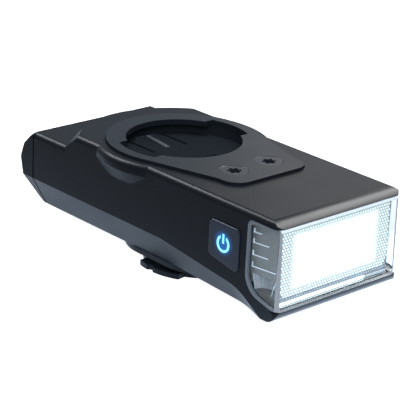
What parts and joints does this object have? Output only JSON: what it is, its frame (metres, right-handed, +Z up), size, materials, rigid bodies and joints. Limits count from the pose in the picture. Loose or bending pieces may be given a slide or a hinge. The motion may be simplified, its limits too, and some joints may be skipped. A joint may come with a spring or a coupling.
{
  "type": "bike headlight",
  "caption": "Slim boxy bike headlight with a quarter-turn device dock on top, a quarter-turn foot below, a lit side button and a wrap-round clear front lens.",
  "frame": {"origin": "centre of the foot's flat bottom face, which the lamp can stand on", "axes": "+X along the beam, +Y to the rider's left, +Z up"},
  "size_m": [0.086, 0.0408, 0.0264],
  "materials": {
    "body_plastic": "satin, fine grain",
    "plate_plastic": "satin",
    "dock_plastic": "satin",
    "foot_plastic": "satin",
    "seal_rubber": "matte",
    "cover_silicone": "matte",
    "dark_steel": "dark coated",
    "bright_steel": "bright",
    "circuit_board": "satin",
    "white_board": "white coated",
    "clear_lens": "clear",
    "lit_panel": "dotted, lit from behind",
    "reflector_metal": "metallised",
    "light_chip": "lit",
    "sink_metal": "plain",
    "button_plastic": "satin",
    "blue_light": "lit",
    "switch_plastic": "matte",
    "cell_wrap": "satin film",
    "pad_foam": "foam"
  },
  "bodies": {
    "lamp": {"housing": "body_plastic", "rear_cap": "body_plastic", "rear_seal": "seal_rubber", "cap_screw_left": "dark_steel", "cap_screw_right": "dark_steel", "cover_pin": "bright_steel", "usb_socket": "bright_steel", "usb_board": "circuit_board", "lens": "clear_lens", "microlens_panel": "lit_panel", "light_strip": "lit_panel", "reflector": "reflector_metal", "led_chips": "light_chip", "led_board": "white_board", "heat_sink": "sink_metal", "button_board": "circuit_board", "tact_switch": "switch_plastic", "symbol_led": "blue_light", "mount_plate": "plate_plastic", "plate_screw_left": "dark_steel", "plate_screw_right": "dark_steel", "dock_base": "dock_plastic", "quarter_turn_foot": "foot_plastic", "foot_screw_front": "dark_steel", "foot_screw_rear": "dark_steel", "battery": "cell_wrap", "battery_pad": "pad_foam", "main_board": "circuit_board"},
    "button": {"side_button": "button_plastic", "button_symbol": "blue_light"},
    "cover": {"port_cover": "cover_silicone"},
    "front_tongue": {"front_detent": "dock_plastic"},
    "rear_tongue": {"rear_detent": "dock_plastic"}
  },
  "joints": [
    {"name": "button_press", "type": "slide", "parent": "lamp", "child": "button", "axis": [0, 1, 0], "range_m": [0, 0.0005], "stiffness_N_per_m": 3000},
    {"name": "cover_hinge", "type": "hinge", "parent": "lamp", "child": "cover", "pos_m": [-0.0412, 0.008, 0.0142], "axis": [0, 0, -1], "range_deg": [0, 90]},
    {"name": "front_tongue_flex", "type": "hinge", "parent": "lamp", "child": "front_tongue", "pos_m": [-0.0025, 0, 0.0222], "axis": [0, 1, 0], "range_deg": [0, 3], "stiffness_Nm_per_rad": 1},
    {"name": "rear_tongue_flex", "type": "hinge", "parent": "lamp", "child": "rear_tongue", "pos_m": [-0.0115, 0, 0.0222], "axis": [0, -1, 0], "range_deg": [0, 3], "stiffness_Nm_per_rad": 1}
  ]
}
